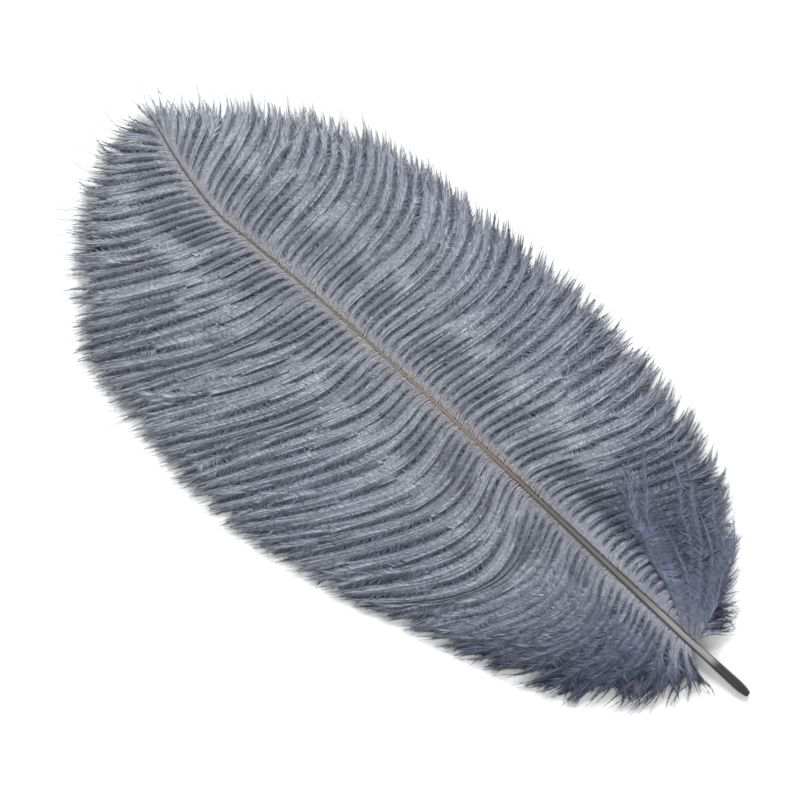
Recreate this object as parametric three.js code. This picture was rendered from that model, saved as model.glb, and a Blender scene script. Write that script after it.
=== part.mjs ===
// An ostrich plume lying face up on a table: a tapered horn shaft, a soft vane of barbs down each side of it, and
// a looser downy tuft on each side at the foot of the vane. Millimetres, +Z up, the shaft along +Y with its quill
// end at low Y, +X to the right. The vanes and tufts are plain closed bodies that reach the tips of their barbs.
import * as THREE from "three";

// ---- Driving dimensions -------------------------------------------------------------------------------------
const SHAFT_LENGTH = 305;
const SHAFT_RADIUS = 1.95; // that the taper starts from, before the quill end is rounded in
const SHAFT_TIP_RADIUS = 0.2;
const TAPER_POWER = 2.1; // above 1, so the shaft thins soonest near the quill
const QUILL_END_RADIUS = 1.1;
const QUILL_ROUNDING = 7; // length over which the quill end narrows
const QUILL_REST_HEIGHT = 1.4; // centre of the quill end above the table
const ARCH_RISE = 10.5; // how far the middle of the shaft stands above the line between its ends
const TIP_HEIGHT = 3.4; // centre of the shaft's thin end above the table
const SIDE_BOW = 2.4; // the shaft's slight bow to the right, in plan
const BOW_SKEW = 1.9; // above 1, so the bow is widest past the middle
const CURL_START = 262; // from here to its end the shaft curls to the right
const CURL_REACH = 9.2;

const ROOT_GAP = 0.4; // clearance between the shaft and the bodies beside it
const PART_GAP = 0.5; // clearance between a downy tuft and the vane above it
const ROOT_TOP = 0.6; // the barbs leave the shaft in a band from this far above its centre
const ROOT_BOTTOM = 1.2; // to this far below it
const CROWN = 2.5; // how far the barbs swell above the straight fall from shaft to rim
const RIM_THICKNESS = 2.6;
const UNDERSIDE_FLAT_FROM = 0.8; // share of the way to the rim where the underside meets the table

const ROOT_FIRST = 28; // the lowest barb leaves the shaft here
const TUFT_LAST = 60; // barbs from here down belong to the downy tufts

// Where barbs end. Each point is (tip X, tip Y, Y of the barb's root on the shaft), from quill to tip.
const RIGHT_RIM = [
  [13, 19, ROOT_FIRST],
  [30, 34, 45],
  [44, 48, 62],
  [57, 64, 85],
  [66, 90, 112],
  [71.5, 122, 138],
  [73, 152, 163],
  [69, 184, 190],
  [66.5, 214, 214],
  [62, 242, 238],
  [52, 268, 262],
  [38, 290, 282],
  [21, 309, 297],
  [10.2, 321, SHAFT_LENGTH],
];
const LEFT_RIM = [
  [-8, 11, ROOT_FIRST],
  [-29, 26, 42],
  [-45, 46, 60],
  [-57, 82, 84],
  [-66, 115, 108],
  [-77, 147, 130],
  [-84, 182, 158],
  [-86, 212, 184],
  [-80, 244, 212],
  [-75, 270, 238],
  [-56, 291, 262],
  [-37, 308, 282],
  [-14, 318, 296],
  [8.4, 321, SHAFT_LENGTH],
];

// ---- Grid counts --------------------------------------------------------------------------------------------
const SHAFT_SIDES = 14;
const SHAFT_STEPS = 60;
const BARBWISE_STEPS = 10; // from shaft to rim
const VANE_STEPS = 44; // along the shaft
const TUFT_STEPS = 8;

// ---- Materials ----------------------------------------------------------------------------------------------
const horn = new THREE.MeshStandardMaterial({ color: 0x7d776c, roughness: 0.42, metalness: 0 });
const barbs = new THREE.MeshStandardMaterial({ color: 0x8a8fa0, roughness: 0.85, metalness: 0 });
const down = new THREE.MeshStandardMaterial({ color: 0x767d93, roughness: 0.9, metalness: 0 });

// ---- The shaft's line and thickness, each a function of Y ---------------------------------------------------
const { clamp, lerp } = THREE.MathUtils;

// A shallow skewed sine bow along the straight stretch, then a power curve to the right at the tip.
function shaftX(y) {
  const bow = SIDE_BOW * Math.sin(Math.PI * clamp(y / CURL_START, 0, 1) ** BOW_SKEW);
  const curl = clamp((y - CURL_START) / (SHAFT_LENGTH - CURL_START), 0, 1);
  return bow + CURL_REACH * curl ** 1.6;
}

// A half sine arch over the straight line between the two ends.
function shaftZ(y) {
  const along = y / SHAFT_LENGTH;
  return lerp(QUILL_REST_HEIGHT, TIP_HEIGHT, along) + ARCH_RISE * Math.sin(Math.PI * along);
}

// A power taper towards the tip, with the quill end rounded in.
function shaftRadius(y) {
  const taper = clamp(1 - y / SHAFT_LENGTH, 0, 1) ** TAPER_POWER;
  const radius = lerp(SHAFT_TIP_RADIUS, SHAFT_RADIUS, taper);
  const rounding = clamp(1 - y / QUILL_ROUNDING, 0, 1) ** 2.5;
  return lerp(radius, QUILL_END_RADIUS, rounding);
}

// A round rod turned on a lathe along Y, then each ring slid to its place on the shaft's line.
function shaftGeometry() {
  const profile = [new THREE.Vector2(0, 0)];
  for (let i = 0; i <= SHAFT_STEPS; i++) {
    const y = (SHAFT_LENGTH * i) / SHAFT_STEPS;
    profile.push(new THREE.Vector2(shaftRadius(y), y));
  }
  profile.push(new THREE.Vector2(0, SHAFT_LENGTH));
  const geometry = new THREE.LatheGeometry(profile, SHAFT_SIDES);
  const points = geometry.getAttribute("position");
  for (let i = 0; i < points.count; i++) {
    const y = points.getY(i);
    points.setXYZ(i, points.getX(i) + shaftX(y), y, points.getZ(i) + shaftZ(y));
  }
  geometry.computeVertexNormals();
  return geometry;
}

// ---- A vane or tuft: a box whose grid is bent between the shaft and the rim ---------------------------------
function rimCurve(rim) {
  return new THREE.CatmullRomCurve3(rim.map(([x, y, root]) => new THREE.Vector3(x, y, root)));
}

// The share of the way along a rim curve at which the barbs' roots reach a given Y, found by halving.
function rimShareAtRoot(curve, root) {
  let low = 0;
  let high = 1;
  for (let i = 0; i < 30; i++) {
    const middle = (low + high) / 2;
    if (curve.getPoint(middle).z < root) low = middle;
    else high = middle;
  }
  return (low + high) / 2;
}

// Height of the body's top, from the shaft (outward = 0) to the rim (outward = 1).
function topHeight(shaftHeight, outward) {
  const fall = Math.cos((Math.PI / 2) * outward) ** 1.2;
  return lerp(RIM_THICKNESS, shaftHeight + ROOT_TOP, fall) + CROWN * Math.sin(Math.PI * outward);
}

// Height of its underside: it arches from the shaft down to the table, and is flat on the table from there to the
// rim, so that the body is a soft layer a few millimetres thick.
function bottomHeight(shaftHeight, outward) {
  return (shaftHeight - ROOT_BOTTOM) * clamp(1 - (outward / UNDERSIDE_FLAT_FROM) ** 2, 0, 1);
}

// side is +1 for the right of the shaft and -1 for the left. Box X runs along a barb, box Y along the shaft and
// box Z from the underside to the top. A left body is a mirrored grid, so there box X is turned round.
function sideGeometry(rim, side, rootFrom, rootTo, steps) {
  const curve = rimCurve(rim);
  const from = rimShareAtRoot(curve, rootFrom);
  const to = rimShareAtRoot(curve, rootTo);
  const geometry = new THREE.BoxGeometry(1, 1, 1, BARBWISE_STEPS, steps, 1);
  const points = geometry.getAttribute("position");
  for (let i = 0; i < points.count; i++) {
    const outward = 0.5 + side * points.getX(i);
    const { x: tipX, y: tipY, z: rootY } = curve.getPoint(lerp(from, to, 0.5 + points.getY(i)));
    const rootX = shaftX(rootY) + side * (shaftRadius(rootY) + ROOT_GAP);
    const height = shaftZ(rootY);
    const z = points.getZ(i) > 0 ? topHeight(height, outward) : bottomHeight(height, outward);
    points.setXYZ(i, lerp(rootX, tipX, outward), lerp(rootY, tipY, outward), z);
  }
  geometry.computeVertexNormals();
  return geometry;
}

// ---- Assembly -----------------------------------------------------------------------------------------------
function named(name, geometry, material) {
  const mesh = new THREE.Mesh(geometry, material);
  mesh.name = name;
  return mesh;
}

const rootLast = RIGHT_RIM.at(-1)[2];
const feather = new THREE.Group();
feather.name = "ostrich_feather";
feather.add(named("shaft", shaftGeometry(), horn));
for (const [word, rim, side] of [
  ["left", LEFT_RIM, -1],
  ["right", RIGHT_RIM, 1],
]) {
  const tuft = sideGeometry(rim, side, ROOT_FIRST, TUFT_LAST, TUFT_STEPS);
  const vane = sideGeometry(rim, side, TUFT_LAST + PART_GAP, rootLast, VANE_STEPS);
  feather.add(named(`${word}_down_tuft`, tuft, down));
  feather.add(named(`${word}_vane`, vane, barbs));
}

// The origin is under the middle of the feather, on the table.
const box = new THREE.Box3().setFromObject(feather, true);
const middle = box.getCenter(new THREE.Vector3());
feather.position.set(-middle.x, -middle.y, -box.min.z);

export default feather;
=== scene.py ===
"""The looks of an ostrich plume that lies face up on a pale table.

Shapes are worked out in the plume's own coordinates, in millimetres: y runs along the shaft from the
quill end, x to its right and z up from the table. A barb is one of the long soft branches beside the
shaft, and a barbule is one of the short hairs down both sides of a barb. The soft layer on each side is a
sheet with two coordinates of its own: root, where along the shaft a barb leaves it, and share, from 0 at
the shaft to 1 at the rim. Barbs and barbules are laid out on the sheet, which gathers them into ridges
with gaps between. place() turns millimetres into the frame's metres.
"""
import math

import bpy
import numpy as np
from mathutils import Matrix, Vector


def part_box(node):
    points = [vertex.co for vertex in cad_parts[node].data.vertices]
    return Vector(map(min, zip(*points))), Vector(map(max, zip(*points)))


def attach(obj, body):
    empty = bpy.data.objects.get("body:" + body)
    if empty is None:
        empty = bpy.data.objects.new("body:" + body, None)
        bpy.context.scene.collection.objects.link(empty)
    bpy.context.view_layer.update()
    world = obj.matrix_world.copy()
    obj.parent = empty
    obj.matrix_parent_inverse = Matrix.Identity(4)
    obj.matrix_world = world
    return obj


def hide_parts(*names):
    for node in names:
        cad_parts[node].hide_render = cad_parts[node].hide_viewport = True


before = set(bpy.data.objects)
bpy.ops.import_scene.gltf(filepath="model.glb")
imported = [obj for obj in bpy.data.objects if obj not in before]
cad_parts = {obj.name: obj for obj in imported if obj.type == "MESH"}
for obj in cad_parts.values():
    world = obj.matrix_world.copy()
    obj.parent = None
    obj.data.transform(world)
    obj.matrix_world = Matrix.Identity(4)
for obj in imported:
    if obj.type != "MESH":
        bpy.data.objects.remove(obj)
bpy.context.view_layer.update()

MM = 0.001

# ---- The shaft's line and thickness ----
SHAFT_LENGTH = 305.0
SHAFT_RADIUS = 1.95
SHAFT_TIP_RADIUS = 0.2
TAPER_POWER = 2.1
QUILL_END_RADIUS = 1.1
QUILL_ROUNDING = 7.0
QUILL_REST_HEIGHT = 1.4
ARCH_RISE = 10.5
TIP_HEIGHT = 3.4
SIDE_BOW = 2.4
BOW_SKEW = 1.9
CURL_START = 262.0
CURL_REACH = 9.2
SHAFT_RINGS = 240
SHAFT_SIDES = 28
UNDER_GROOVE = 0.38  # depth of the groove along the shaft's underside, as a share of its radius

# ---- The soft layer beside it ----
ROOT_TOP = 0.6  # how far above the shaft's middle the layer starts
CROWN = 2.5  # how far it swells between shaft and rim
RIM_THICKNESS = 2.6
ROOT_FIRST = 28.0  # the lowest barb leaves the shaft here
TUFT_LAST = 60.0  # barbs from here down belong to the downy tufts
LOOSE_UP_TO = 48.0  # barbs are loose and downy up to here
FIRM_FROM = 115.0  # and firm from here on
ROOT_PITCH = 0.64  # between neighbouring barbs on the shaft
BARB_SINK = 0.9  # how far the barbs lie under the layer's top, which their barbules reach
HOOK_LENGTH = 4.4  # barbs leave the shaft leaning forward by this much
HOOK_FADE = 3.9  # and bend out over this distance
FOOT_HOOK = 2.4  # times as far at the foot of the right side
BEND_REACH = 0.86  # how far a barb's two handles reach towards the corner where its directions meet
STRAY_SHARE = 0.07  # of the barbs leave their neighbours
VANE_SWING = 5.0  # how far loose barbs swing sideways together, in tufts
WISP_SWING = 1.5

# ---- The ridges that the barbs gather into ----
# Waves beside the shaft, further out, and fine ones over both: shortest, longest, run, count.
NEAR_WAVES = (2.8, 4.3, 110.0, 14)
FAR_WAVES = (3.4, 6.2, 90.0, 14)
FINE_WAVES = (1.5, 2.3, 40.0, 8)
BROADEN_FROM = 14.0  # near waves up to this far out
BROADEN_TO = 38.0  # and far waves from here on
WAVE_OFFSET = 0.22  # more of it leaves weak ridges lower than strong ones
RIPPLE = 0.3  # height of the fine waves, as a share of the others'
ROPE_HEIGHT = 0.36  # how round the ridges are
GAP_DEPTH = 1.7  # how far the surface drops from a ridge's edge to the bottom of the groove beside it
GROOVE_EDGE = -0.32  # where it starts to drop, with 1 on a ridge's crest and -1 in a groove's middle
GATHER = 0.58  # how far barbs are drawn to the crest, as a share of the most they can be
RIM_PARTING = 0.25  # how much of that they lose at the rim
RIGHT_CALM = 0.85  # how much flatter the ridges are at the loose foot
LEFT_CALM = 0.45

# ---- Hairs ----
STEM_RADIUS = 0.12
STEM_TIP_RADIUS = 0.07
STEM_RINGS = 14
BARBULE_LENGTH = 3.2
BARBULE_PITCH = 0.21  # between neighbours along a barb
BARBULE_WIDTH = 0.2
CLUMP = 4  # barbules that lean together
GROOVE_REACH = 0.82  # share of the way to a groove's middle that barbules may reach
UNDER_LENGTH = 6.0
UNDER_PITCH = 1.4
UNDER_WIDTH = 0.95
STEM_TONE = 0.70  # tones run from 0, the dye's deep colour, to 1, its pale one
BARBULE_TONE = 0.685
BARBULE_END_SHADE = 0.08  # painted shade: how much less tone a barbule has at its end, low on its ridge's flank
# The lower fluff's low tone is painted shade for the depth of the layer.
UNDER_TONE = 0.32
GAP_SHADE = 0.34  # painted shade: how much less tone a hair has at the bottom of a gap

# ---- The sheets' grids ----
STATIONS = 90  # points along each line of a sheet, and along each barb
SHEET_STEP = 0.5  # between a sheet's lines, on the shaft
SHEET_MARGIN = 8.0  # how far the sheet runs on past the first and last root
PLAN_CELL = 2.0  # of the height grid that the wisps lie on

# Where barbs end, from quill to tip: tip X, tip Y, root Y, direction at the tip, direction a little way
# out from the shaft. Directions are in degrees from the shaft's forward direction, so 90 is square to it
# and more is backward.
RIGHT_RIM = np.array([
    [14, 19, 28, 132, 138],
    [32, 33, 45, 112, 128],
    [46, 48, 62, 93, 125],
    [59, 65, 85, 76, 124],
    [68, 92, 112, 66, 122],
    [73, 125, 140, 96, 113],
    [74, 155, 160, 82, 108],
    [71, 187, 181, 48, 107],
    [69, 218, 201, 42, 104],
    [64, 246, 226, 40, 99],
    [53, 271, 252, 40, 94],
    [38, 292, 275, 40, 83],
    [21, 310, 293, 32, 66],
    [10, 321, 305, 10, 25],
])
LEFT_RIM = np.array([
    [-8, 10, 28, 150, 146],
    [-30, 24, 37, 114, 140],
    [-47, 44, 47, 88, 134],
    [-60, 80, 68, 60, 128],
    [-69, 113, 93, 52, 124],
    [-79, 146, 119, 50, 124],
    [-85, 182, 144, 53, 117],
    [-86, 212, 172, 56, 109],
    [-82, 245, 203, 55, 94],
    [-76, 271, 228, 53, 80],
    [-58, 292, 254, 48, 71],
    [-37, 309, 277, 40, 62],
    [-14, 319, 294, 16, 50],
    [8, 321, 305, -25, 20],
])
# Long loose wisps from the right foot that sweep forward over the other barbs.
WISP_RIM = np.array([
    [45, 43, 27.0, 62, 88],
    [51, 60, 28.5, 44, 76],
    [51, 79, 30.0, 34, 66],
    [43, 95, 31.5, 36, 54],
    [31, 99, 33.0, 20, 46],
    [19, 94, 34.5, 6, 34],
])
# Where each pair of wisps leaves the shaft.
WISP_STRANDS = (27.1, 28.0, 28.7, 29.8, 30.4, 31.6, 32.7, 33.3, 34.3)

# ---- Where the plume lies in the frame ----
shaft_low, shaft_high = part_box("shaft")
QUILL_AT_X = shaft_high.x / MM - CURL_REACH - SHAFT_TIP_RADIUS
QUILL_AT_Y = shaft_low.y / MM


def place(points):
    """Plume millimetres to frame metres: slide by where the quill end lies in the frame, then scale."""
    return (np.asarray(points, float) + (QUILL_AT_X, QUILL_AT_Y, 0.0)) * MM


def smoothstep(low, high, x):
    """0 at low, 1 at high, and 3t² - 2t³ between them."""
    t = np.clip((x - low) / (high - low), 0, 1)
    return t * t * (3 - 2 * t)


def shaft_x(y):
    """Half a sine wave to the right along the straight stretch, widest past its middle because its turn
    follows a power of y, then a power curve to the right at the tip."""
    bow = SIDE_BOW * np.sin(np.pi * np.clip(y / CURL_START, 0, 1) ** BOW_SKEW)
    return bow + CURL_REACH * np.clip((y - CURL_START) / (SHAFT_LENGTH - CURL_START), 0, 1) ** 1.6


def shaft_z(y):
    """Half a sine wave over the straight line between the two ends' heights."""
    along = y / SHAFT_LENGTH
    return QUILL_REST_HEIGHT + (TIP_HEIGHT - QUILL_REST_HEIGHT) * along + ARCH_RISE * np.sin(np.pi * along)


def shaft_radius(y):
    """From the full radius to the tip's by a power of the length that is left, rounded in at the quill
    end."""
    left = np.clip(1 - y / SHAFT_LENGTH, 0, 1)
    radius = SHAFT_TIP_RADIUS + (SHAFT_RADIUS - SHAFT_TIP_RADIUS) * left**TAPER_POWER
    rounding = np.clip(1 - y / QUILL_ROUNDING, 0, 1) ** 2.5
    return radius + (QUILL_END_RADIUS - radius) * rounding


# ---- Small helpers ----
def soft_noise(u, v, seed):
    """Value noise from -1 to 1: random numbers at whole (u, v), blended by 3t² - 2t³ each way."""
    size = 97
    lattice = np.random.default_rng(seed).uniform(-1, 1, (size, size))
    u, v = np.broadcast_arrays(np.asarray(u, float), np.asarray(v, float))
    iu, iv = np.floor(u).astype(int), np.floor(v).astype(int)
    fu, fv = smoothstep(0, 1, u - iu), smoothstep(0, 1, v - iv)
    low = lattice[iu % size, iv % size] * (1 - fu) + lattice[(iu + 1) % size, iv % size] * fu
    high = lattice[iu % size, (iv + 1) % size] * (1 - fu) + lattice[(iu + 1) % size, (iv + 1) % size] * fu
    return low * (1 - fv) + high * fv


def unit(v):
    """Each vector over its own length."""
    return v / np.maximum(np.linalg.norm(v, axis=-1, keepdims=True), 1e-9)


def heading(degrees, side):
    """Unit vectors in plan at these angles from +Y, towards the side: (side sin a, cos a)."""
    a = np.radians(degrees)
    return np.stack([side * np.sin(a), np.cos(a)], -1)


def bezier(p0, p1, p2, p3, s):
    """A cubic Bezier curve: (1-s)³ p0 + 3(1-s)²s p1 + 3(1-s)s² p2 + s³ p3, for rows of points and a row
    of s."""
    s = s[None, :, None]
    p0, p1, p2, p3 = (p[:, None, :] for p in (p0, p1, p2, p3))
    return (1 - s) ** 3 * p0 + 3 * (1 - s) ** 2 * s * p1 + 3 * (1 - s) * s**2 * p2 + s**3 * p3


def path_length(lines):
    """How far along its own line each point lies."""
    steps = np.linalg.norm(np.diff(lines, axis=1), axis=2)
    return np.concatenate([np.zeros((len(lines), 1)), np.cumsum(steps, axis=1)], 1)


def read_at(rows, row, s):
    """Values of rows (rows, STATIONS) at share s along them, blended between the two nearest stations.
    Past the end they run on straight."""
    at = np.clip(s, 0, 1.2) * (STATIONS - 1)
    i = np.minimum(at.astype(int), STATIONS - 2)
    return rows[row, i] + (rows[row, i + 1] - rows[row, i]) * (at - i)


def read_grid(grid, at):
    """Values of a grid at rows of (i, j), blended between the four nearest cells."""
    at = np.clip(at, 0, np.array(grid.shape) - 1.001)
    i, j = at.astype(int).T
    fi, fj = (at - at.astype(int)).T
    low = grid[i, j] * (1 - fi) + grid[i + 1, j] * fi
    high = grid[i, j + 1] * (1 - fi) + grid[i + 1, j + 1] * fi
    return low * (1 - fj) + high * fj


# ---- Waves that gather the barbs into ridges ----
class Waves:
    """Waves over a sheet, in millimetres. Each has a length across the barbs from shortest to longest and
    a random slant, so that the crests of their sum keep together for about run along the barbs, and now
    and then two meet."""

    def __init__(self, rng, shortest, longest, run, count):
        self.across = 2 * np.pi / rng.uniform(shortest, longest, count)
        self.along = rng.normal(0, 2 * np.pi / run, count)
        self.start = rng.uniform(0, 2 * np.pi, count)

    def read(self, root, out):
        """At places on the sheet: the sums of the waves' cosines and sines, each over the size of both
        together plus WAVE_OFFSET times the root of their count, so that all the ridges are about as high,
        and their usual turn per millimetre. The cosine is near 1 on a crest and -1 in a groove."""
        cosines, sines = np.zeros(np.shape(root)), np.zeros(np.shape(root))
        for across, along, start in zip(self.across, self.along, self.start):
            turn = across * root + along * out + start
            cosines += np.cos(turn)
            sines += np.sin(turn)
        size = np.hypot(cosines, sines) + WAVE_OFFSET * math.sqrt(len(self.start))
        return cosines / size, sines / size, np.full(np.shape(root), self.across.mean())


def looseness(root):
    """How loose and downy the barbs are, from 1 at the foot of the plume to 0 higher up."""
    return 1 - smoothstep(LOOSE_UP_TO, FIRM_FROM, root)


# ---- The sheet that each side is laid out on ----
def layer_top(height, share):
    """Height of the soft layer's top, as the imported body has: a cosine fall from the shaft to the rim, and
    a sine swell between them."""
    share = np.clip(share, 0, 1)
    fall = np.cos(np.pi / 2 * share) ** 1.2
    return RIM_THICKNESS + (height + ROOT_TOP - RIM_THICKNESS) * fall + CROWN * np.sin(np.pi * share)


class Sheet:
    """One side's soft layer. lines has a plan line for each root, with equal steps along it. length is
    each line's own, spread is how far apart two lines are per millimetre between their roots, and onward
    is the unit vector square to a line, towards higher roots. ridged is 1 where its barbs gather into
    ridges and 0 where they don't. A sheet with another one under it lies on that one's top."""

    def __init__(self, side, rim, seed, ridged, under=None):
        rng = np.random.default_rng(seed)
        self.side, self.seed, self.ridged = side, seed, ridged
        self.under = under.plan_heights() if under else None
        self.first = rim[0, 2] - SHEET_MARGIN
        root = np.arange(self.first, rim[-1, 2] + SHEET_MARGIN, SHEET_STEP)
        curve = self.curves(root, rim)
        out = path_length(curve)
        even = np.linspace(0, 1, STATIONS)
        coordinates = [[np.interp(even * o[-1], o, c[:, k]) for c, o in zip(curve, out)] for k in (0, 1)]
        self.lines = np.stack(coordinates, 2)
        self.length = out[:, -1]
        tangent = unit(np.gradient(self.lines, axis=1))
        self.onward = np.stack([-side * tangent[..., 1], side * tangent[..., 0]], -1)
        apart = (np.gradient(self.lines, SHEET_STEP, axis=0) * self.onward).sum(2)
        self.spread = np.clip(apart, 0.45, 12.0)
        self.near_waves = Waves(rng, *NEAR_WAVES)
        self.far_waves = Waves(rng, *FAR_WAVES)
        self.fine_waves = Waves(rng, *FINE_WAVES)

    def curves(self, root, rim):
        """A Bezier curve from the shaft to the rim for each root. Its two handles reach BEND_REACH of the
        way to the corner where its first and last directions meet, which the law of sines gives. Near the
        shaft it is bent back along the shaft by its hook times exp(-distance / HOOK_FADE), so that it
        leaves the shaft leaning forward. The hook is HOOK_LENGTH, less where the barb lies along the
        shaft, and longer at the right foot."""
        side, seed = self.side, self.seed
        tip_x, tip_y, _, end, near = (np.interp(root, rim[:, 2], rim[:, k]) for k in range(5))
        end = end + 8 * soft_noise(root / 11, 0.5, seed + 1)
        near = near + 3 * soft_noise(root / 14, 5.5, seed + 2)
        edge = 0.85 - 0.8 * smoothstep(80, 170, root)
        start = np.stack([shaft_x(root) + side * edge * shaft_radius(root), root], 1)
        tip = np.stack([tip_x, tip_y], 1)
        span = np.linalg.norm(tip - start, axis=1)[:, None]
        longer = 1 + (FOOT_HOOK - 1) * (1 - smoothstep(75, 135, root)) * (side > 0) * (self.under is None)
        across = np.clip(np.sin(np.radians(near)), 0.1, 1)
        hook = HOOK_LENGTH * across * np.clip(near / 110, 0.2, 1.2) * longer
        begin = start + np.stack([np.zeros(len(root)), hook], 1)
        chord = np.degrees(np.arctan2(side * (tip - begin)[:, 0], (tip - begin)[:, 1]))
        turn = np.sin(np.radians(np.maximum(near - end, 8)))
        to_corner = np.clip(np.sin(np.radians(chord - end)) / turn, 0.25, 0.85)[:, None]
        from_corner = np.clip(np.sin(np.radians(near - chord)) / turn, 0.25, 0.85)[:, None]
        bend = begin + BEND_REACH * to_corner * span * heading(near, side)
        unbend = tip - BEND_REACH * from_corner * span * heading(end, side)
        plan = bezier(begin, bend, unbend, tip, np.linspace(0, 1, 120) ** 1.3)
        away = np.linalg.norm(plan - plan[:, :1], axis=2)
        plan[:, :, 1] -= hook[:, None] * np.exp(-away / (HOOK_FADE * longer[:, None]))
        return plan

    def plan_heights(self):
        """The sheet's top on a square grid in plan: the grid's corner, and for each cell the highest of
        the sheet's points in it."""
        root = np.clip(self.first + SHEET_STEP * np.arange(len(self.lines)), 0, SHAFT_LENGTH)
        top = layer_top(shaft_z(root)[:, None], np.linspace(0, 1, STATIONS)[None])
        corner = self.lines.min((0, 1)) - PLAN_CELL
        cell = ((self.lines - corner) / PLAN_CELL).astype(int)
        heights = np.full(cell.max((0, 1)) + 3, RIM_THICKNESS)
        np.maximum.at(heights, (cell[..., 0].ravel(), cell[..., 1].ravel()), top.ravel())
        return corner, heights

    def read(self, rows, root, share):
        """Values of rows at (root, share), blended between the four nearest points. Past the rim they run
        on."""
        u = np.clip((root - self.first) / SHEET_STEP, 0, len(rows) - 1.001)
        i = u.astype(int)
        fu = u - i
        if rows.ndim == 1:
            return rows[i] * (1 - fu) + rows[i + 1] * fu
        v = np.clip(share, 0, 1.25) * (STATIONS - 1)
        j = np.minimum(v.astype(int), STATIONS - 2)
        fv = v - j
        if rows.ndim == 3:
            fu, fv = fu[..., None], fv[..., None]
        near = rows[i, j] * (1 - fv) + rows[i, j + 1] * fv
        far = rows[i + 1, j] * (1 - fv) + rows[i + 1, j + 1] * fv
        return near * (1 - fu) + far * fu

    def ridges(self, root, out):
        """At places on the sheet: level, about 1 on a ridge's crest and -1 in a groove, its slope with
        root, pull (the wave's sine over its turn, which draws barbs to the crest) and aside (how far past
        the crest they lie) in millimetres of root, and half (from crest to groove). Beside the shaft the
        ridges are narrow. Further out they pass into broader ones, and fine waves ripple both."""
        near = np.array(self.near_waves.read(root, out))
        far = np.array(self.far_waves.read(root, out))
        cosine, sine, usual = near + (far - near) * smoothstep(BROADEN_FROM, BROADEN_TO, out)
        ripple, ripple_sine, ripple_usual = self.fine_waves.read(root, out)
        level = cosine + RIPPLE * ripple
        slope = -sine * usual - RIPPLE * ripple_sine * ripple_usual
        return level, slope, sine / usual, np.arctan2(sine, cosine) / usual, np.pi / usual

    def spot(self, root, share, lift):
        """Points in space for places on the sheet, lift above its surface. Also how deep in a gap each
        lies, 0 to 1, and the surface's slope towards higher roots. The surface is the layer's top less
        BARB_SINK. A ridge rises above it by ROPE_HEIGHT times its level, and where the level is under
        GROOVE_EDGE it drops by up to GAP_DEPTH, as 3t² - 2t³. Places are drawn aside to the nearest crest
        by GATHER of the pull, less so at the rim, where the barbs part again. All of that grows from
        nothing beside the shaft, and is calmer at the loose foot."""
        out = share * self.read(self.length, root, share)
        level, level_slope, pull, _, _ = self.ridges(root, out)
        begin = 1.6 + 1.1 * soft_noise(root / 5, 7.5, self.seed + 6)
        grown = self.ridged * smoothstep(0, 4.5, out - begin)
        calm = RIGHT_CALM if self.side > 0 else LEFT_CALM
        grown = grown * (1 - calm * looseness(root) * smoothstep(8, 24, out))
        shallow = 1 - 0.5 * smoothstep(0.7, 1.0, share)
        inside = np.clip((GROOVE_EDGE - level) / (1 + GROOVE_EDGE), 0, 1)
        depth = inside**2 * (3 - 2 * inside)
        steep = 6 * inside * (1 - inside) / (1 + GROOVE_EDGE)
        deepest = GAP_DEPTH * (1 + 0.5 * looseness(root)) * shallow
        moved = root - grown * (GATHER - RIM_PARTING * smoothstep(0.75, 1.0, share)) * pull
        plan = self.read(self.lines, moved, share)
        if self.under:
            corner, heights = self.under
            top = read_grid(heights, (plan - corner) / PLAN_CELL - 0.5)
        else:
            top = layer_top(shaft_z(np.clip(moved, 0, SHAFT_LENGTH)), share)
        droop = BARB_SINK * smoothstep(0, 9, out) + 1.0 * smoothstep(0.88, 1.1, share)
        relief = grown * (ROPE_HEIGHT * level - deepest * depth)
        z = np.maximum(top - droop + relief + lift, 0.12)
        slope = np.clip(grown * (ROPE_HEIGHT + deepest * steep) * level_slope, -1.2, 1.2)
        return np.column_stack([plan, z]), depth * grown, slope


# ---- Barbs ----
def even_roots(first, last, pitch, seed):
    """Roots every pitch along the shaft, closer at the foot, where the barbs fan out, each moved a little
    at random."""
    fine = np.arange(first, last, 0.05)
    count = np.cumsum(0.05 / (pitch * (1 - 0.3 * looseness(fine))))
    root = np.interp(np.arange(1, count[-1]), count, fine)
    return root + pitch * np.random.default_rng(seed).uniform(-0.3, 0.3, len(root))


def strand_roots(strands, count, scatter, seed):
    """Roots in strands: count of them scattered closely about each strand's place."""
    root = np.repeat(strands, count)
    return root + np.random.default_rng(seed).normal(0, scatter, len(root))


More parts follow.
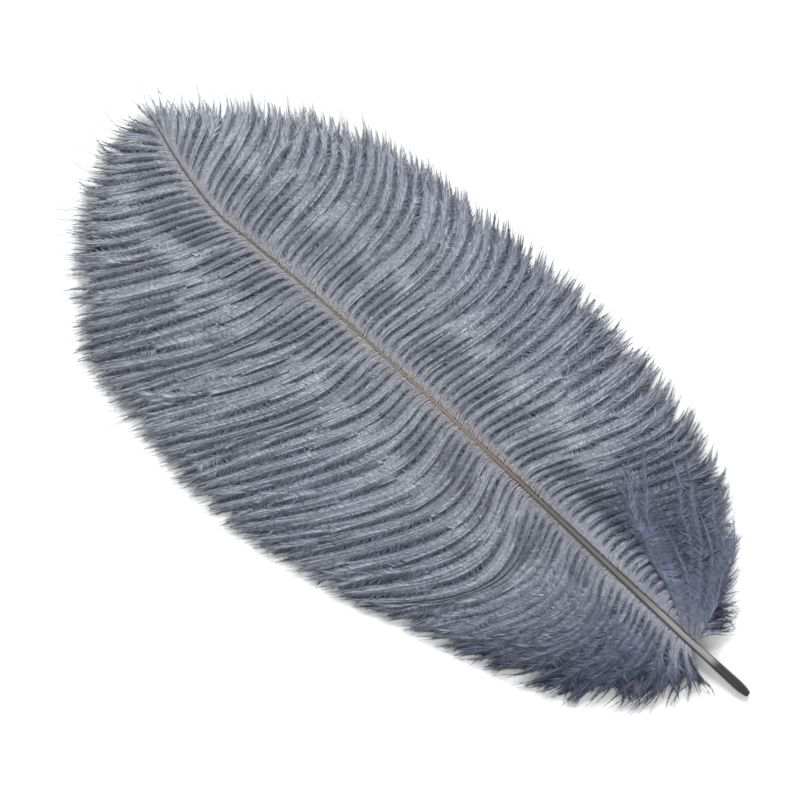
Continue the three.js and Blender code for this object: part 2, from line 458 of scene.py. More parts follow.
class Barbs:
    """Barbs laid on a sheet. For each: root, length, bare (how much of its end has no barbules), and shade
    (its own tone, -1 to 1). At each station: root_line and share_line, its place on the sheet, and
    lift_line, its height over it."""

    def __init__(self, sheet, root, lift, stray_share, seed, uneven=4.0):
        """Each barb follows its root's line, but for its sideways moves: it parts from its neighbours
        towards its tip, a stray one goes wild there, noise waves it, and at the loose foot neighbours
        swing together in tufts. Lengths differ by up to uneven millimetres from barb to barb, and by a
        few more from place to place."""
        rng = np.random.default_rng(seed)
        n = len(root)
        k = np.arange(n)[:, None]
        s = np.linspace(0, 1, STATIONS)[None]
        full = sheet.read(sheet.length, root, 0)
        dips = 3.0 * np.abs(soft_noise(root / 3.6, 2.5, seed + 2)) ** 1.3
        short = dips + uneven * rng.uniform(0, 1, n) ** 3.0
        bare_at_tip = 0.45 + 0.55 * smoothstep(130, 260, root)
        self.bare = (1 + 11 * rng.uniform(0, 1, n) ** 2.2) * bare_at_tip
        share = s * (1 + (0.5 + 0.9 * self.bare - short) / full)[:, None]
        out = share * full[:, None]
        loose = looseness(root)[:, None]
        stray = (rng.uniform(0, 1, n) < stray_share) * rng.choice([-1, 1], n)
        part = rng.normal(0, 1.7, n)[:, None] * smoothstep(0.5, 1.05, s) ** 1.4
        wild = (stray * rng.uniform(3.0, 9.0, n))[:, None] * smoothstep(0.35, 1.0, s) ** 1.6
        waviness = 0.15 + 0.9 * smoothstep(0.5, 0.95, s) + 0.5 * loose
        wave = soft_noise(k * 1.7, out / 9, seed + 3) * waviness
        swing = WISP_SWING if sheet.under else VANE_SWING
        tuft = soft_noise(root[:, None] / 2.6, out / 12, seed + 6) * swing * loose * smoothstep(6, 26, out)
        sideways = part + wild + wave * smoothstep(2.0, 16.0, out) + tuft
        spread = sheet.read(sheet.spread, np.broadcast_to(root[:, None], out.shape), share)
        self.root_line = root[:, None] + sideways / spread
        self.share_line = share
        sunk = np.abs(rng.normal(0, 0.2, n))[:, None]
        rise = soft_noise(k * 0.9 + 0.5, out / 13, seed + 4) * (0.2 + 0.5 * loose)
        self.lift_line = lift + (rise - sunk) * smoothstep(2, 12, out)
        self.lift_line = self.lift_line + 0.8 * np.abs(stray)[:, None] * smoothstep(0.3, 0.7, s)
        self.root, self.shade = root, rng.uniform(-1, 1, n)
        self.length = out[:, -1]

    def pick(self, mask):
        """A copy with only the barbs of a mask."""
        few = object.__new__(Barbs)
        for name, values in self.__dict__.items():
            setattr(few, name, values[mask])
        return few


# ---- Fibre meshes ----
class Fibres:
    """Triangles gathered for one piece, with a hue and a tone for each vertex, kept as the piece's UV
    map. The tone holds both the hair's own tone and painted shade."""

    def __init__(self):
        self.points, self.faces, self.dye, self.count = [], [], [], 0

    def add(self, points, faces, dye):
        """More points, with faces that count from the first of them."""
        self.points.append(points)
        self.faces.append(faces + self.count)
        self.dye.append(dye)
        self.count += len(points)


def layer_hue(root, out, warmest):
    """Hue by place: 0.5 is the plain dye. Hairs turn warmest, above it, beside the shaft, least so at the
    foot and the tip. They turn cool, below it, out at the loose foot and a little on the lower half."""
    stretch = 0.2 + 0.8 * smoothstep(80, 150, root) * (1 - 0.5 * smoothstep(235, 290, root))
    warm = warmest * (1 - smoothstep(0.5, 4.2, out)) * stretch
    cool = 0.8 * looseness(root) * smoothstep(3, 14, out)
    lower_half = 1 - smoothstep(150, 230, root)
    cool = cool + 0.25 * smoothstep(15, 50, out) * lower_half * (1 - looseness(root))
    return 0.5 + 0.48 * (warm - cool)


def layer_tone(sheet, root, share, out):
    """Tone by place, added to every hair: soft patches, painted shade towards the rim, and darker at the
    loose foot. The right side is darkest just beyond the short band beside the shaft, where painted shade
    lies under the wisps."""
    patches = 0.05 * soft_noise(root / 16 + 3.3, out / 16, sheet.seed + 20)
    if sheet.under:
        return patches
    foot = 0.4 * smoothstep(3, 20, out) * looseness(root)
    if sheet.side > 0:
        # Painted shade under the wisps, just beyond the short band beside the shaft.
        wisp_shade = smoothstep(8, 14, out) * (1 - smoothstep(0.6, 0.95, share))
        wisp_shade = wisp_shade * (1 - smoothstep(82, 122, root))
        foot = 0.12 * smoothstep(6, 12, out) * looseness(root) + 0.42 * wisp_shade
        foot = foot + 0.12 * smoothstep(25, 60, out) * (1 - smoothstep(150, 220, root)) * (1 - wisp_shade)
    # Painted shade towards the rim.
    return patches - 0.06 * smoothstep(0.5, 1.0, share) - foot


def add_stems(fibres, sheet, barbs, root_radius, tip_radius):
    """Each barb's stem: a three-sided tube along its line, radius shrinking evenly to the tip, with both
    ends shut. It shows beside the shaft and sinks among the barbules further out."""
    n, rings = len(barbs.root), STEM_RINGS
    barb = np.repeat(np.arange(n), rings)
    s = np.tile(np.linspace(0, 1, rings) ** 1.5, n)
    out = s * barbs.length[barb]
    root = read_at(barbs.root_line, barb, s)
    share = read_at(barbs.share_line, barb, s)
    lift = read_at(barbs.lift_line, barb, s) - 0.3 * smoothstep(6, 16, out)
    centre, _, _ = sheet.spot(root, share, lift)
    rows = centre.reshape(n, rings, 3)
    along = unit(np.gradient(rows, axis=1)).reshape(-1, 3)
    sideways = unit(np.cross(along, (0, 0, 1.0)))
    upward = np.cross(sideways, along)
    radius = (root_radius + (tip_radius - root_radius) * s)[:, None, None]
    radius = radius * (1 - 0.8 * (s == 1))[:, None, None]
    turn = np.radians([90, 210, 330])
    ring = np.cos(turn)[None, :, None] * sideways[:, None] + np.sin(turn)[None, :, None] * upward[:, None]
    points = (centre[:, None] + radius * ring).reshape(-1, 3)
    first = (np.arange(n)[:, None] * rings + np.arange(rings - 1)[None]).ravel() * 3
    faces = []
    for k in range(3):
        a, b = first + k, first + (k + 1) % 3
        faces += [np.stack([a, b, b + 3], 1), np.stack([a, b + 3, a + 3], 1)]
    low = np.arange(n) * rings * 3
    far = low + (rings - 1) * 3
    faces += [np.stack([low, low + 2, low + 1], 1), np.stack([far, far + 1, far + 2], 1)]
    tone = STEM_TONE + 0.04 * barbs.shade[barb] - 0.1 * smoothstep(4, 16, out)
    tone = tone + layer_tone(sheet, root, share, out)
    hue = layer_hue(root, out, 0.7)
    fibres.add(points, np.vstack(faces), np.repeat(np.stack([hue, tone], 1), 3, axis=0))


def strand_places(barbs, pitch, rng, first):
    """For each barb, a strand every pitch millimetres: the barb's number, the share of the way along it,
    and how far out that is in millimetres."""
    counts = np.maximum(((barbs.length - first) / pitch).astype(int), 2)
    barb = np.repeat(np.arange(len(barbs.root)), counts)
    k = np.arange(counts.sum()) - np.repeat(np.cumsum(counts) - counts, counts)
    out = first + (k + rng.uniform(0.2, 0.8, len(k))) * ((barbs.length - first) / counts)[barb]
    return barb, out / barbs.length[barb], out


def add_barbules(fibres, sheet, barbs, pitch, full_length, width, seed, base_tone, end_shade):
    """Barbules down both sides of each barb, like the slopes of a roof. They start side by side, pitch
    apart, at an angle that closes towards the barb's tip, and CLUMP of them lean together at their ends,
    which have end_shade less tone, painted shade low on the ridge's flank. Their tone also drops by
    GAP_SHADE where they lie deep in a gap, which is painted shade too. Those that point away from the
    crest of their ridge lie on top, so that a ridge looks combed. On a firm stretch none reaches past
    GROOVE_REACH of the way to the middle of a groove, and few grow in one."""
    rng = np.random.default_rng(seed)
    for hand in (-1, 1):
        barb, s, out = strand_places(barbs, CLUMP * pitch, rng, 0.4)
        left = barbs.length[barb] - barbs.bare[barb] - out
        share = read_at(barbs.share_line, barb, s)
        root = read_at(barbs.root_line, barb, s)
        level, _, pull, past_crest, half = sheet.ridges(root, out)
        grown = sheet.ridged * smoothstep(1, 6, out)
        lean = grown * np.clip(2 * hand * pull, -1, 1)
        sparse = grown * smoothstep(-0.45, -0.85, level) * (1 - smoothstep(0.75, 1.0, share))
        sparse = sparse * (1 - 0.8 * looseness(root))
        fluffy = 1 + 1.5 * looseness(root) * smoothstep(5, 20, out)
        room = (GROOVE_REACH * (half - hand * past_crest) + 0.15) * fluffy
        room = np.where(grown > 0.3, room, 99)
        chance = (0.5 + 0.5 * smoothstep(0.3, 6, left)) * (1 - 0.55 * sparse) * (left > 0.3)
        kept = rng.uniform(0, 1, len(barb)) < chance
        kept_values = (v[kept] for v in (barb, s, out, left, share, root, lean, room))
        barb, s, out, left, share, root, lean, room = kept_values
        m = len(barb)
        loose = looseness(barbs.root[barb])
        spread = sheet.read(sheet.spread, root, share)
        onward = sheet.read(sheet.onward, root, share)
        size = (0.28 + 0.72 * smoothstep(0.5, 13, out)) * (0.32 + 0.68 * smoothstep(0, 18, left))
        length = full_length * size * (1 + 0.3 * loose) * rng.uniform(0.8, 1.15, m)
        opening = 5 + 21 * smoothstep(0, 18, left) + 35 * smoothstep(8, 36, left) * smoothstep(0, 18, out)
        opening = opening + (1.5 + 2 * smoothstep(0, 20, left) + 6 * loose) * rng.normal(0, 1, m)
        fitting = 1.1 * room * spread / np.sin(np.radians(np.clip(opening, 12, 75)))
        length = np.minimum(length, np.maximum(fitting, 0.7))
        steepness = 0.34 + 0.04 * rng.normal(0, 1, m)
        lower = np.abs(rng.normal(0, 0.07, m)) - 0.16 * lean
        slim = (0.6 + 0.4 * smoothstep(0.6, 3, length)) * (0.5 + 0.5 * smoothstep(0, 9, left))
        tone = base_tone + layer_tone(sheet, root, share, out)
        tone = tone + 0.02 * barbs.shade[barb] + 0.08 * rng.normal(0, 1, m)
        hue = layer_hue(barbs.root[barb], out, 0.55)

        def spot(part, angle, forward):
            """What Sheet.spot gives for the point at this part of a barbule, moved forward by these
            millimetres."""
            ahead = part * length * np.cos(angle) + forward
            aside = part * length * np.sin(angle)
            there = s + ahead / barbs.length[barb]
            at_root = read_at(barbs.root_line, barb, there) + hand * np.minimum(aside / spread, room)
            lift = read_at(barbs.lift_line, barb, there) + 0.2 - steepness * aside - lower
            return sheet.spot(at_root, read_at(barbs.share_line, barb, there), lift)

        for h in range(CLUMP):
            slide = pitch * (h + 0.5 - CLUMP / 2) + rng.normal(0, 0.04, m)
            angle = np.radians(np.clip(opening + (1 + 6 * loose) * rng.normal(0, 1, m), 4, 75))
            start, start_gap, start_slope = spot(0.0, angle, slide)
            together = (0.25 + 0.5 * loose) * slide + rng.normal(0, 0.06, m)
            end, end_gap, end_slope = spot(rng.uniform(0.88, 1.12, m), angle, together)
            tilt = hand * steepness - 0.5 * (start_slope + end_slope)
            up = unit(np.column_stack([tilt[:, None] * onward, np.ones(m)]))
            roll = np.radians(rng.normal(0, 9, m))[:, None]
            flat = np.cos(roll) * unit(np.cross(end - start, up)) + np.sin(roll) * up
            edge = (0.5 * width * slim * rng.uniform(0.8, 1.2, m))[:, None] * flat
            own = tone + 0.015 * rng.normal(0, 1, m)
            # Painted shade: the tone drops where a barbule lies deep in a gap, and more at its end.
            start_tone = own - GAP_SHADE * start_gap
            end_tone = own - GAP_SHADE * end_gap - end_shade
            add_hairs(fibres, start, edge, end, start_tone, end_tone, hue)


def add_hairs(fibres, start, edge, end, start_tone, end_tone, hue):
    """Hairs of one long triangle each, from the start less and plus its edge to the end. They all face
    up."""
    points = np.stack([start - edge, start + edge, end], 1)
    points[:, :, 2] = np.maximum(points[:, :, 2], 0.05)
    turned = np.cross(points[:, 1] - points[:, 0], points[:, 2] - points[:, 0])[:, 2] < 0
    points[turned] = points[turned][:, [1, 0, 2]]
    hues = np.stack([hue - 0.004, hue + 0.004, hue], 1)
    tones = np.stack([start_tone, start_tone, end_tone], 1)
    faces = np.arange(3 * len(start)).reshape(-1, 3)
    fibres.add(points.reshape(-1, 3), faces, np.stack([hues, tones], 2).reshape(-1, 2))


def add_under_hairs(fibres, sheet, barbs, pitch, full_length, seed, base_tone):
    """The lower fluff: single broad hairs, each one long triangle, that lean outward and down from the
    barbs. They close the layer under the gaps and fill its depth, and their low tone is painted shade."""
    rng = np.random.default_rng(seed)
    for hand in (-1, 1):
        barb, s, out = strand_places(barbs, pitch, rng, 1.0)
        left = barbs.length[barb] - barbs.bare[barb] - out
        barb, s, out, left = (v[left > 2.5] for v in (barb, s, out, left))
        m = len(barb)
        root = read_at(barbs.root_line, barb, s)
        share = read_at(barbs.share_line, barb, s)
        lower = 0.3 + 0.9 * smoothstep(2, 12, out) * rng.uniform(0.4, 1.2, m)
        start, gap, _ = sheet.spot(root, share, read_at(barbs.lift_line, barb, s) - lower)
        onward = sheet.read(sheet.onward, root, share)
        along = np.column_stack([sheet.side * onward[:, 1], -sheet.side * onward[:, 0]])
        length = full_length * rng.uniform(0.7, 1.2, m) * (0.2 + 0.8 * smoothstep(1, 20, left))
        length = length * (0.35 + 0.65 * smoothstep(0, 10, out))
        angle = np.radians(rng.uniform(15, 70, m) * (0.15 + 0.85 * smoothstep(2, 22, left)))[:, None]
        droop = np.radians(rng.uniform(-28, -4, m))[:, None]
        level = np.cos(angle) * along + np.sin(angle) * hand * onward
        way = np.column_stack([np.cos(droop) * level, np.sin(droop)])
        end = start + length[:, None] * way
        wide = 0.5 * UNDER_WIDTH * (0.25 + 0.75 * smoothstep(0, 16, left))
        wide = wide * (0.4 + 0.6 * smoothstep(0, 8, out))
        edge = wide[:, None] * unit(np.cross(way, (0, 0, 1.0)) + 0.25 * rng.normal(0, 1, (m, 3)))
        # Painted shade: the tone drops where an under hair lies deep in a gap.
        tone = base_tone + 0.04 * rng.normal(0, 1, m) + 0.2 * (1 - smoothstep(1, 5, out)) - 0.12 * gap
        tone = tone + 0.5 * layer_tone(sheet, root, share, out)
        add_hairs(fibres, start, edge, end, tone, tone - 0.03, layer_hue(root, out, 0.2))


def new_object(name, data):
    """An object for this data, in the scene at the origin."""
    thing = bpy.data.objects.new(name, data)
    bpy.context.scene.collection.objects.link(thing)
    return thing


def fibre_piece(name, fibres, material):
    """One mesh object from the gathered triangles. Its UV map holds hue across and tone up."""
    points = place(np.vstack(fibres.points)).astype(np.float32)
    faces = np.vstack(fibres.faces).astype(np.int32)
    dye = np.clip(np.vstack(fibres.dye), 0.01, 0.99)
    mesh = bpy.data.meshes.new(name)
    mesh.vertices.add(len(points))
    mesh.vertices.foreach_set("co", points.ravel())
    mesh.loops.add(faces.size)
    mesh.loops.foreach_set("vertex_index", faces.ravel())
    mesh.polygons.add(len(faces))
    mesh.polygons.foreach_set("loop_start", np.arange(0, faces.size, 3, dtype=np.int32))
    mesh.polygons.foreach_set("use_smooth", np.ones(len(faces), bool))
    mesh.update(calc_edges=True)
    uv = mesh.uv_layers.new(name="OFBake")
    uv.uv.foreach_set("vector", dye[faces.ravel()].astype(np.float32).ravel())
    mesh.materials.append(material)
    print(name, len(faces), "triangles")
    return new_object(name, mesh)


# ---- Shader nodes ----
def srgb(r, g, b):
    """An sRGB colour of 0 to 255 as linear light with alpha 1."""
    c = np.array([r, g, b]) / 255
    linear = np.where(c <= 0.04045, c / 12.92, ((c + 0.055) / 1.055) ** 2.4)
    return (*map(float, linear), 1.0)


def new_material(name):
    """A material, its node tree and its shader node."""
    material = bpy.data.materials.new(name)
    material.use_nodes = True
    return material, material.node_tree, material.node_tree.nodes["Principled BSDF"]


def set_inputs(node, values):
    """Sets a node's inputs by name."""
    for name, value in values.items():
        node.inputs[name].default_value = value


def own_map(tree):
    """The piece's UV map as a vector, and its two parts."""
    uv = tree.nodes.new("ShaderNodeUVMap")
    uv.uv_map = "OFBake"
    split = tree.nodes.new("ShaderNodeSeparateXYZ")
    tree.links.new(uv.outputs["UV"], split.inputs[0])
    return uv.outputs["UV"], split.outputs["X"], split.outputs["Y"]


def noise_over(tree, vector, scale, detail):
    """Noise of 0 to 1 over a vector."""
    noise = tree.nodes.new("ShaderNodeTexNoise")
    set_inputs(noise, {"Scale": scale, "Detail": detail})
    tree.links.new(vector, noise.inputs["Vector"])
    return noise.outputs["Fac"]


def map_range(tree, value, low=0.0, high=1.0, to_low=0.0, to_high=1.0):
    """A value from low to high, mapped evenly to the range from to_low to to_high and kept within it."""
    node = tree.nodes.new("ShaderNodeMapRange")
    tree.links.new(value, node.inputs["Value"])
    set_inputs(node, {"From Min": low, "From Max": high, "To Min": to_low, "To Max": to_high})
    return node.outputs["Result"]


def mix_colours(tree, factor, a, b, kind="MIX"):
    """Colour a, which passes into b, or into a times b for MULTIPLY, as the factor goes from 0 to 1."""
    mix = tree.nodes.new("ShaderNodeMix")
    mix.data_type = "RGBA"
    mix.blend_type = kind
    tree.links.new(factor, mix.inputs["Factor"])
    tree.links.new(a, mix.inputs["A"])
    tree.links.new(b, mix.inputs["B"])
    return mix.outputs["Result"]


def colour_ramp(tree, value, stops):
    """Colours blended evenly between stops of (place, linear colour)."""
    ramp = tree.nodes.new("ShaderNodeValToRGB")
    elements = ramp.color_ramp.elements
    while len(elements) < len(stops):
        elements.new(0.5)
    for element, (at, colour) in zip(elements, stops):
        element.position = at
        element.color = colour
    tree.links.new(value, ramp.inputs["Fac"])
    return ramp.outputs["Color"]


# ---- Materials ----
BEIGE = (160, 149, 141)  # undyed hair
COOL = (234, 241, 255)
# Each dye's deep, middle and pale colour.
VANE_DYE = ((34, 39, 58), (120, 124, 137), (187, 190, 198))
DOWN_DYE = ((32, 37, 58), (116, 121, 137), (184, 187, 198))
# Along the shaft from quill to tip. The quill's dark end stops short at 0.06.
HORN_STOPS = (
    (0.0, (42, 42, 44)),
    (0.060, (50, 50, 52)),
    (0.070, (148, 147, 147)),
    (0.15, (146, 144, 142)),
    (0.20, (108, 106, 102)),
    (0.33, (96, 92, 86)),
    (0.46, (120, 103, 89)),
    (0.60, (138, 123, 112)),
    (0.75, (134, 126, 123)),
    (1.0, (124, 125, 133)),
)
# Painted shade across the shaft's map, where 0 and 1 are the top of the shaft and 0.5 is underneath: the
# sides and underside are darkened.
SIDE_SHADE_STOPS = ((0.0, 1.0), (0.07, 0.95), (0.13, 0.35), (0.5, 0.3), (0.86, 0.35), (0.92, 0.9), (1.0, 1.0))


def dyed_and_shaded_fibre_group():
    """Colour of a dyed hair from its map, whose tone holds both the hair's own tone and painted shade: tone
    runs from the deep colour through the middle to the pale one. Hue above the middle mixes in undyed
    beige, and below it multiplies by the cool colour. A fine noise over the map keeps two hairs from being
    quite alike."""
    tree = bpy.data.node_groups.new("dyed_and_shaded_fibre", "ShaderNodeTree")
    for name, level in (("Deep", 0), ("Middle", 0), ("Pale", 1), ("Beige", 1), ("Cool", 1)):
        socket = tree.interface.new_socket(name, in_out="INPUT", socket_type="NodeSocketColor")
        socket.default_value = (level, level, level, 1)
    tree.interface.new_socket("Color", in_out="OUTPUT", socket_type="NodeSocketColor")
    tree.interface.new_socket("Roughness", in_out="OUTPUT", socket_type="NodeSocketFloat")
    given = tree.nodes.new("NodeGroupInput").outputs
    result = tree.nodes.new("NodeGroupOutput").inputs
    vector, hue, plain_tone = own_map(tree)
    jitter = map_range(tree, noise_over(tree, vector, 38.0, 2.0), to_low=-0.03, to_high=0.03)
    add = tree.nodes.new("ShaderNodeMath")
    add.operation = "ADD"
    tree.links.new(plain_tone, add.inputs[0])
    tree.links.new(jitter, add.inputs[1])
    tone = add.outputs[0]
    colour = mix_colours(tree, map_range(tree, tone, high=0.5), given["Deep"], given["Middle"])
    colour = mix_colours(tree, map_range(tree, tone, low=0.5), colour, given["Pale"])
    colour = mix_colours(tree, map_range(tree, hue, low=0.5), colour, given["Beige"])
    coolness = map_range(tree, hue, low=0.5, high=0.0)
    tree.links.new(mix_colours(tree, coolness, colour, given["Cool"], "MULTIPLY"), result["Color"])
    tree.links.new(map_range(tree, tone, to_low=0.9, to_high=0.55), result["Roughness"])
    return tree


def fibre_material(name, group, deep, middle, pale):
    """A dyed hair with painted shade in its tone: the group's colour and roughness, with a little sheen."""
    material, tree, shader = new_material(name)
    dyed = tree.nodes.new("ShaderNodeGroup")
    dyed.node_tree = group
    colours = {"Deep": deep, "Middle": middle, "Pale": pale, "Beige": BEIGE, "Cool": COOL}
    set_inputs(dyed, {socket: srgb(*colour) for socket, colour in colours.items()})
    tree.links.new(dyed.outputs["Color"], shader.inputs["Base Color"])
    tree.links.new(dyed.outputs["Roughness"], shader.inputs["Roughness"])
    set_inputs(shader, {"Sheen Weight": 0.15, "Sheen Roughness": 0.5, "Specular IOR Level": 0.35})
    return material


def horn_material():
    """Horn: dark at the quill end, silver grey above it, brown and then dull towards the tip, with fine
    streaks along it and painted shade down its sides, which fade where the shaft grows thin."""
    material, tree, shader = new_material("shaft_horn")
    vector, across, along = own_map(tree)
    stretch = tree.nodes.new("ShaderNodeMapping")
    stretch.inputs["Scale"].default_value = (26, 30, 1)
    tree.links.new(vector, stretch.inputs["Vector"])
    streaks = noise_over(tree, stretch.outputs["Vector"], 1.0, 4.0)
    wobble = tree.nodes.new("ShaderNodeMath")
    wobble.operation = "MULTIPLY_ADD"
    tree.links.new(streaks, wobble.inputs[0])
    wobble.inputs[1].default_value = 0.012
    tree.links.new(along, wobble.inputs[2])
    colour = colour_ramp(tree, wobble.outputs[0], [(at, srgb(*rgb)) for at, rgb in HORN_STOPS])
    # Painted shade on the shaft's sides and underside.
    sides = colour_ramp(tree, across, [(at, (light, light, light, 1.0)) for at, light in SIDE_SHADE_STOPS])
    # The streaks' own darkening times the painted side shade.
    both = tree.nodes.new("ShaderNodeMath")
    both.operation = "MULTIPLY"
    dark = map_range(tree, streaks, low=0.35, high=0.7, to_low=1.0, to_high=0.72)
    tree.links.new(dark, both.inputs[0])
    tree.links.new(sides, both.inputs[1])
    fade = map_range(tree, along, low=0.36, high=0.52, to_low=1.0, to_high=0.15)
    colour = mix_colours(tree, fade, colour, both.outputs[0], "MULTIPLY")
    tree.links.new(colour, shader.inputs["Base Color"])
    tree.links.new(map_range(tree, streaks, to_low=0.28, to_high=0.5), shader.inputs["Roughness"])
    return material


# ---- The shaft ----
def shaft_piece(material):
    """A ring carried along the shaft's line: its radius follows shaft_radius, pressed in underneath by a
    groove that fades at the quill. Angle 0 is at the right and a quarter turn is the top, where each ring
    starts."""
    y = np.linspace(0, 1, SHAFT_RINGS) ** 1.25 * SHAFT_LENGTH
    y[0] = 0.05  # so that the middle of the quill's end, at 0, stands out a little
    turn = np.linspace(0, 2 * np.pi, SHAFT_SIDES, endpoint=False) + np.pi / 2
    radius = shaft_radius(y)[:, None] * np.ones(SHAFT_SIDES)[None]
    under = np.clip(-np.sin(turn), 0, 1)[None] ** 6
    radius = radius * (1 - UNDER_GROOVE * under * smoothstep(26, 60, y)[:, None])
    x = shaft_x(y)[:, None] + radius * np.cos(turn)[None]
    z = np.maximum(shaft_z(y)[:, None] + radius * np.sin(turn)[None], 0.02)
    points = np.stack([x, np.broadcast_to(y[:, None], x.shape), z], 2).reshape(-1, 3)
    ends = np.array([[shaft_x(at), at, shaft_z(at)] for at in (0.0, SHAFT_LENGTH)])
    points = np.vstack([points, ends])
    i, k = np.meshgrid(np.arange(SHAFT_RINGS - 1), np.arange(SHAFT_SIDES), indexing="ij")
    a = (i * SHAFT_SIDES + k).ravel()
    b = (i * SHAFT_SIDES + (k + 1) % SHAFT_SIDES).ravel()
    around = np.arange(SHAFT_SIDES)
    after = (around + 1) % SHAFT_SIDES
    last = (SHAFT_RINGS - 1) * SHAFT_SIDES
    faces = np.stack([a, a + SHAFT_SIDES, b + SHAFT_SIDES, b], 1).tolist()
    faces += np.stack([around, after, np.full(SHAFT_SIDES, len(points) - 2)], 1).tolist()
    faces += np.stack([last + after, last + around, np.full(SHAFT_SIDES, len(points) - 1)], 1).tolist()
    mesh = bpy.data.meshes.new("quill_shaft")
    mesh.from_pydata(place(points).tolist(), [], faces)
    mesh.polygons.foreach_set("use_smooth", np.ones(len(faces), bool))
    along = np.concatenate([np.repeat(y / SHAFT_LENGTH, SHAFT_SIDES), [0.0, 1.0]])
    # The map's seam runs along the top. A face that crosses it ends at the map's far side.
    spot = (around + 0.5) / SHAFT_SIDES
    shares = np.concatenate([np.tile(spot, SHAFT_RINGS), [0.5, 0.5]])
    loops = np.array([v for f in faces for v in f])
    u = shares[loops]
    starts = np.cumsum([0] + [len(f) for f in faces[:-1]])
    sizes = np.array([len(f) for f in faces])
    crosses = np.repeat(np.maximum.reduceat(u, starts) - np.minimum.reduceat(u, starts) > 0.5, sizes)
    u = np.where(crosses & (u < 0.5) & (loops < len(points) - 2), 1 - 1e-3, u)
    layer = mesh.uv_layers.new(name="OFBake")
    layer.uv.foreach_set("vector", np.stack([u, along[loops]], 1).astype(np.float32).ravel())
    mesh.materials.append(material)
    return new_object("quill_shaft", mesh)


# ---- The table, light and camera ----
VIEW_MIDDLE = (-5.7, 170.0)  # plume coordinates of what the middle of the view shows
VIEW_WIDTH = 296.0
VIEW_LEVEL = 8.0  # height at which it is that wide
SHAFT_TURN = math.degrees(math.atan2(0.74147, 0.67099))  # how far left of the view's up the shaft leans
LENS = 100.0
SENSOR = 36.0
TABLE_REACH = 3.0  # metres each way


def make_table():
    """A square pale table top at height 0."""
    corners = [(x * TABLE_REACH, y * TABLE_REACH, 0) for x, y in ((-1, -1), (1, -1), (1, 1), (-1, 1))]
    mesh = bpy.data.meshes.new("table")
    mesh.from_pydata(corners, [], [(0, 1, 2, 3)])
    table = new_object("table", mesh)
    material, _, shader = new_material("table_white")
    pale = (0.92, 0.92, 0.92, 1)
    set_inputs(shader, {"Base Color": pale, "Roughness": 0.9, "Specular IOR Level": 0.1})
    mesh.materials.append(material)


def soft_light(name, aim, azimuth, elevation, distance, size, power):
    """A square area light that faces aim from a direction: azimuth in degrees from +X towards +Y."""
    a, e = math.radians(azimuth), math.radians(elevation)
    way = np.array([math.cos(a) * math.cos(e), math.sin(a) * math.cos(e), math.sin(e)])
    data = bpy.data.lights.new(name, "AREA")
    data.shape = "SQUARE"
    data.size = size
    data.energy = power
    lamp = new_object(name, data)
    lamp.location = aim + way * distance
    lamp.rotation_mode = "QUATERNION"
    lamp.rotation_quaternion = Vector(-way).to_track_quat("-Z", "Y")


def make_light_and_camera():
    """Even light from all round with two soft lamps, and a camera that looks straight down."""
    scene = bpy.context.scene
    middle = place((*VIEW_MIDDLE, 0.0))
    world = bpy.data.worlds.new("studio")
    world.use_nodes = True
    set_inputs(world.node_tree.nodes["Background"], {"Color": (1.0, 1.0, 1.0, 1), "Strength": 0.6})
    scene.world = world
    soft_light("key", middle, azimuth=35, elevation=40, distance=1.5, size=0.6, power=27.0)
    soft_light("fill", middle, azimuth=200, elevation=55, distance=1.6, size=1.2, power=6.0)
    scene.view_settings.view_transform = "Standard"

    camera = bpy.data.cameras.new("camera")
    camera.lens = LENS
    camera.sensor_width = SENSOR
    camera.clip_start = 0.01
    camera.clip_end = 20
    holder = new_object("camera", camera)
    holder.location = middle + (0, 0, (VIEW_WIDTH * LENS / SENSOR + VIEW_LEVEL) * MM)
    # With no turn the view's up is +Y. Turning the camera clockwise, as seen from above, leans the shaft to
    # the left.
    holder.rotation_euler = (0, 0, -math.radians(SHAFT_TURN))
    scene.camera = holder


# ---- Assembly ----
# Each side's pieces: name, first root and last root. The outer roots lie past the ends, so no barb is lost.
LEFT_PIECES = (
    ("down_barbs", 0, 60),
    ("vane_lower", 60, 122),
    ("vane_middle", 122, 190),
    ("vane_upper", 190, 400),
)
RIGHT_PIECES = (
    ("down_barbs", 0, 60),
    ("vane_lower", 60, 165),
    ("vane_upper", 165, 400),
)


def grow_fibres(sheet, barbs, seed):
    """All the hairs of some barbs of a vane."""
    fibres = Fibres()
    add_stems(fibres, sheet, barbs, STEM_RADIUS, STEM_TIP_RADIUS)
    add_barbules(
        fibres, sheet, barbs, BARBULE_PITCH, BARBULE_LENGTH, BARBULE_WIDTH, seed,
        BARBULE_TONE, BARBULE_END_SHADE,
    )
    add_under_hairs(fibres, sheet, barbs, UNDER_PITCH, UNDER_LENGTH, seed + 50, UNDER_TONE)
    return fibres


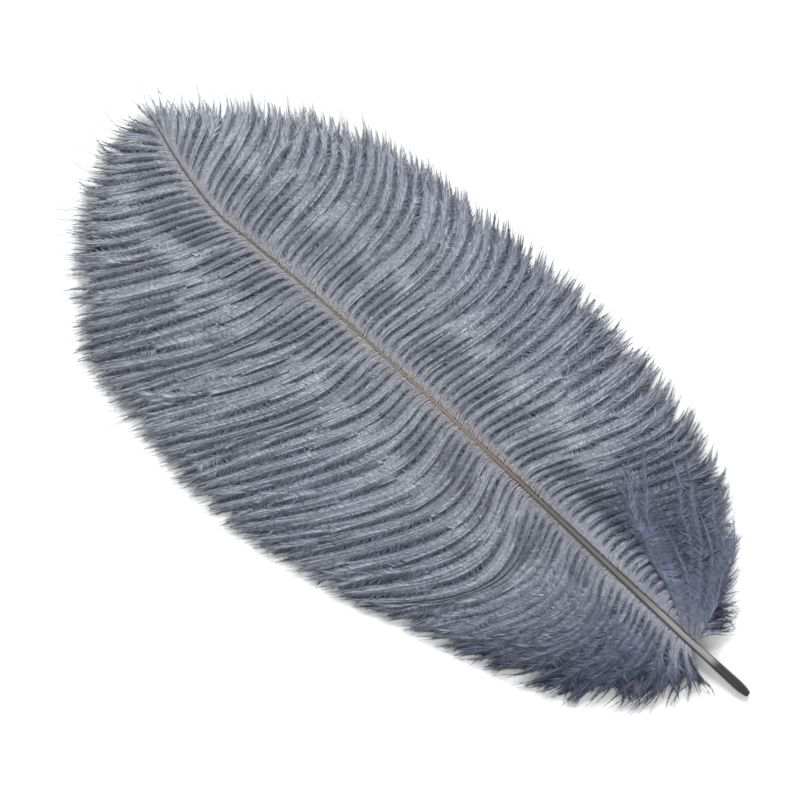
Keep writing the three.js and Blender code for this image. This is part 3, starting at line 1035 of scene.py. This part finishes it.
def finish_piece(piece, slot, *nodes):
    """Puts a piece on the one body, in place of these nodes."""
    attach(piece, "root")
    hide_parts(*nodes)


def make_vane(word, side, rim, seed, bands, vane_material, down_material):
    """One side of the plume: its barbs are worked out together, then shared among pieces by where they
    root."""
    sheet = Sheet(side, rim, seed, 1.0)
    root = even_roots(ROOT_FIRST, SHAFT_LENGTH - 1.0, ROOT_PITCH, seed + 9)
    barbs = Barbs(sheet, root, 0.0, STRAY_SHARE, seed + 5)
    for name, low, high in bands:
        part = barbs.pick((barbs.root >= low) & (barbs.root < high))
        is_down = high <= TUFT_LAST
        fibres = grow_fibres(sheet, part, seed + round(low))
        piece = fibre_piece(f"{word}_{name}", fibres, down_material if is_down else vane_material)
        if is_down:
            finish_piece(piece, "down", f"{word}_down_tuft")
        else:
            finish_piece(piece, "barbs", f"{word}_vane")
    return sheet


def make_wisps(under, material):
    """Loose barbs from the right foot that lie forward over the tuft and the vane, on that side's sheet:
    two to a strand, raised over it, very uneven in length, with finer and darker barbules."""
    sheet = Sheet(1, WISP_RIM, 71, 0.0, under)
    root = strand_roots(WISP_STRANDS, count=2, scatter=0.25, seed=74)
    barbs = Barbs(sheet, root, lift=0.6, stray_share=0.3, seed=72, uneven=38.0)
    fibres = Fibres()
    add_stems(fibres, sheet, barbs, root_radius=0.1, tip_radius=0.06)
    # end_shade is painted shade on the barbules' ends.
    add_barbules(
        fibres, sheet, barbs, pitch=0.26, full_length=4.0, width=0.13, seed=73,
        base_tone=0.45, end_shade=0.16,
    )
    finish_piece(fibre_piece("right_wisps", fibres, material), "down", "right_down_tuft", "right_vane")


make_light_and_camera()
make_table()
fibre_group = dyed_and_shaded_fibre_group()
# Both materials show the dye and the painted shade that the hairs' tone carries.
vane_dye_and_shade = fibre_material("vane_dye_and_shade", fibre_group, *VANE_DYE)
down_dye_and_shade = fibre_material("down_dye_and_shade", fibre_group, *DOWN_DYE)
finish_piece(shaft_piece(horn_material()), "horn", "shaft")
make_vane("left", -1, LEFT_RIM, 11, LEFT_PIECES, vane_dye_and_shade, down_dye_and_shade)
right_sheet = make_vane("right", 1, RIGHT_RIM, 23, RIGHT_PIECES, vane_dye_and_shade, down_dye_and_shade)
make_wisps(right_sheet, down_dye_and_shade)
